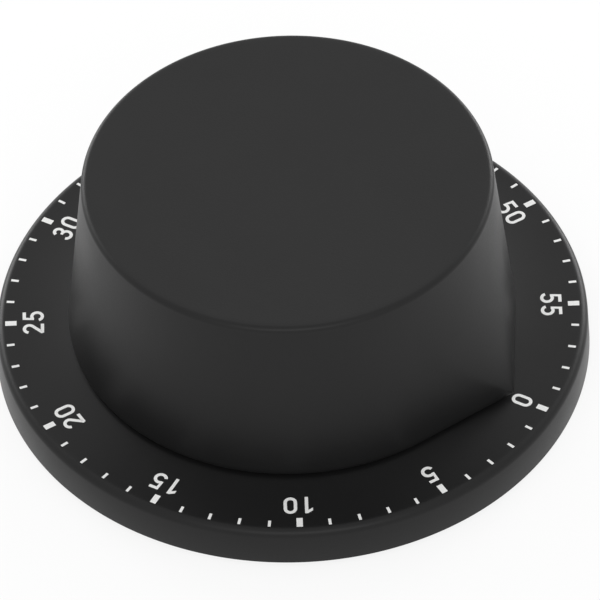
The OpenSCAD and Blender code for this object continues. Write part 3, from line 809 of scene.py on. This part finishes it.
class Clockwork:
    """The pieces inside, which keep their CAD shapes and take worked-metal finishes."""

    FINISHES = {
        Hue.BRASS: WorkedMetal("stamped_brass", (0.78, 0.56, 0.24), (0.55, 0.38, 0.17), 0.3, 0.2),
        Hue.STEEL: WorkedMetal("turned_steel", (0.56, 0.56, 0.58), (0.42, 0.42, 0.44), 0.28, 0.1),
        Hue.SPRING: WorkedMetal("blued_spring", (0.13, 0.16, 0.26), (0.2, 0.19, 0.24), 0.25, 0.12),
        Hue.BELL: WorkedMetal("bell_steel", (0.66, 0.65, 0.62), (0.5, 0.49, 0.46), 0.2, 0.3),
    }

    def build(self, effects: Effects) -> None:
        """Dress each metal node with its finish, turned about its own axis."""
        slots = {part["node"]: part["material_slot"] for part in frame["record"]["subparts"]}
        for node, slot in slots.items():
            if slot not in {hue.value for hue in Hue}:
                continue
            low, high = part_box(node)
            finish = self.FINISHES[Hue(slot)]
            dress(frame["nodes"][node], finish.build(effects, (low + high) / 2))
            LOG.info("%s is dressed as %s", node, finish.name)


@dataclass
class Studio:
    """The floor, the soft lamps and the camera.

    Attributes:
        azimuth: The camera's direction round the timer, in degrees.
        elevation: The camera's height above the horizon, in degrees.
        roll: How far the picture is turned counterclockwise, in degrees.
        distance: From the target to the camera, in millimetres.
        lens: Focal length on a 36 mm sensor.
        target: The point that the camera looks at, in millimetres.
        room: Strength of the room's even light.
        floor_glow: How white the floor looks by itself, which leaves the rest to its shadow.
    """

    azimuth: float = 29.95
    elevation: float = 46.518
    roll: float = 2.02
    distance: float = 1188.7
    lens: float = 529.1
    target: tuple[float, float, float] = (-0.254, 2.655, 6.5)
    room: float = 0.85
    floor_glow: float = 0.85

    def camera(self) -> None:
        """Set up the camera."""
        data = bpy.data.cameras.new("camera")
        data.sensor_width = 36.0
        data.lens = self.lens
        data.clip_start, data.clip_end = 0.05, 20.0
        made = bpy.data.objects.new("camera", data)
        bpy.context.scene.collection.objects.link(made)
        a, e = math.radians(self.azimuth), math.radians(self.elevation)
        back = Vector((math.sin(a) * math.cos(e), -math.cos(a) * math.cos(e), math.sin(e)))
        turn = (-back).to_track_quat("-Z", "Y").to_matrix()
        turn = turn @ Matrix.Rotation(math.radians(-self.roll), 3, "Z")
        made.matrix_world = (Matrix.Translation((Vector(self.target) + back * self.distance) * MM)
                             @ turn.to_4x4())
        bpy.context.scene.camera = made

    def lamp(self, name: str, azimuth: float, elevation: float, distance: float,
             size: tuple[float, float], watts: float) -> None:
        """Hang one soft lamp that faces the timer.

        Args:
            name: The lamp's name.
            azimuth: Its direction round the timer, from the camera's side, in degrees.
            elevation: Its height above the horizon, in degrees.
            distance: How far away it is, in metres.
            size: Its width and height, in metres.
            watts: Its power.
        """
        data = bpy.data.lights.new(name, "AREA")
        data.shape = "RECTANGLE"
        data.size, data.size_y = size
        data.energy = watts
        made = bpy.data.objects.new(name, data)
        bpy.context.scene.collection.objects.link(made)
        a, e = math.radians(self.azimuth + azimuth), math.radians(elevation)
        back = Vector((math.sin(a) * math.cos(e), -math.cos(a) * math.cos(e), math.sin(e)))
        made.matrix_world = (Matrix.Translation(back * distance) @
                             (-back).to_track_quat("-Z", "Y").to_matrix().to_4x4())

    def floor(self) -> None:
        """Lay the pale floor, which the camera sees as nearly white."""
        half = 3.0
        mesh = bpy.data.meshes.new("floor")
        mesh.from_pydata([(-half, -half, 0), (half, -half, 0), (half, half, 0), (-half, half, 0)],
                         [], [(0, 1, 2, 3)])
        made = bpy.data.objects.new("floor", mesh)
        bpy.context.scene.collection.objects.link(made)
        material = bpy.data.materials.new("pale_floor")
        material.use_nodes = True
        tree = material.node_tree
        kit = Kit(tree)
        shader, out = tree.nodes["Principled BSDF"], tree.nodes["Material Output"]
        shader.inputs["Base Color"].default_value = (0.9, 0.9, 0.9, 1)
        shader.inputs["Roughness"].default_value = 0.9
        glow = kit.add("ShaderNodeEmission", Strength=1.0)
        glow.inputs["Color"].default_value = (1, 1, 1, 1)
        mix = kit.add("ShaderNodeMixShader")
        kit.join(kit.maths("MULTIPLY", self.seen(kit), self.floor_glow), mix.inputs["Fac"])
        kit.join(shader.outputs[0], mix.inputs[1])
        kit.join(glow.outputs[0], mix.inputs[2])
        kit.join(mix.outputs[0], out.inputs["Surface"])
        mesh.materials.append(material)

    def seen(self, kit: Kit) -> bpy.types.NodeSocket:
        """Find the rays that look at the backdrop, straight on or in a reflection.


        Returns:
            A socket that is 1 for such a ray and 0 for the others.
        """
        rays = kit.add("ShaderNodeLightPath")
        shiny = kit.maths("MAXIMUM", rays.outputs["Is Glossy Ray"],
                          rays.outputs["Is Transmission Ray"])
        return kit.maths("MAXIMUM", rays.outputs["Is Camera Ray"], shiny)

    def world(self) -> None:
        """Give the room a soft even light and a white backdrop."""
        world = bpy.data.worlds.new("room")
        world.use_nodes = True
        bpy.context.scene.world = world
        kit = Kit(world.node_tree)
        room = world.node_tree.nodes["Background"]
        room.inputs["Color"].default_value = (1, 1, 1, 1)
        room.inputs["Strength"].default_value = self.room
        white = kit.add("ShaderNodeBackground", Strength=1.0)
        white.inputs["Color"].default_value = (1, 1, 1, 1)
        mix = kit.add("ShaderNodeMixShader")
        kit.join(self.seen(kit), mix.inputs["Fac"])
        kit.join(room.outputs[0], mix.inputs[1])
        kit.join(white.outputs[0], mix.inputs[2])
        kit.join(mix.outputs[0], world.node_tree.nodes["World Output"].inputs["Surface"])

    def build(self) -> None:
        """Set up the whole studio."""
        self.camera()
        self.floor()
        self.world()
        self.lamp("front_softbox", 0, 40, 1.2, (0.9, 0.5), 2.4)
        self.lamp("left_softbox", -142, 15, 1.0, (0.4, 0.6), 4.2)
        self.lamp("right_softbox", 142, 15, 1.0, (0.4, 0.6), 4.2)
        bpy.context.scene.view_settings.view_transform = "Standard"


def main() -> None:
    """Build the studio and every piece, in order."""
    logging.basicConfig(level=logging.INFO, format="%(name)s: %(message)s")
    Studio().build()
    effects = Effects()
    knob_plastic = MouldedPlastic("satin_knob_plastic", 0.0075, 0.42, 0.22, 0.012, 0.24).build(effects)
    dial_plastic = MouldedPlastic("matt_dial_plastic", 0.0075, 0.38, 0.18, 0.01, 0.22).build(effects)
    cover_plastic = MouldedPlastic("matt_cover_plastic", 0.011, 0.55, 0.3, 0.02, 0.4).build(effects)
    rubber = SoftRubber("foot_rubber", 0.012).build(effects)
    ink = PrintedInk("white_ink", (0.89, 0.89, 0.88)).build(effects)
    Knob().build(knob_plastic)
    case = DialCase()
    case.build(dial_plastic)
    DialPrint().build(case.dial_z, ink)
    dress(frame["nodes"]["back_cover"], cover_plastic)
    dress(frame["nodes"]["foot_ring"], rubber)
    Clockwork().build(effects)


if __name__ == "__main__":
    main()
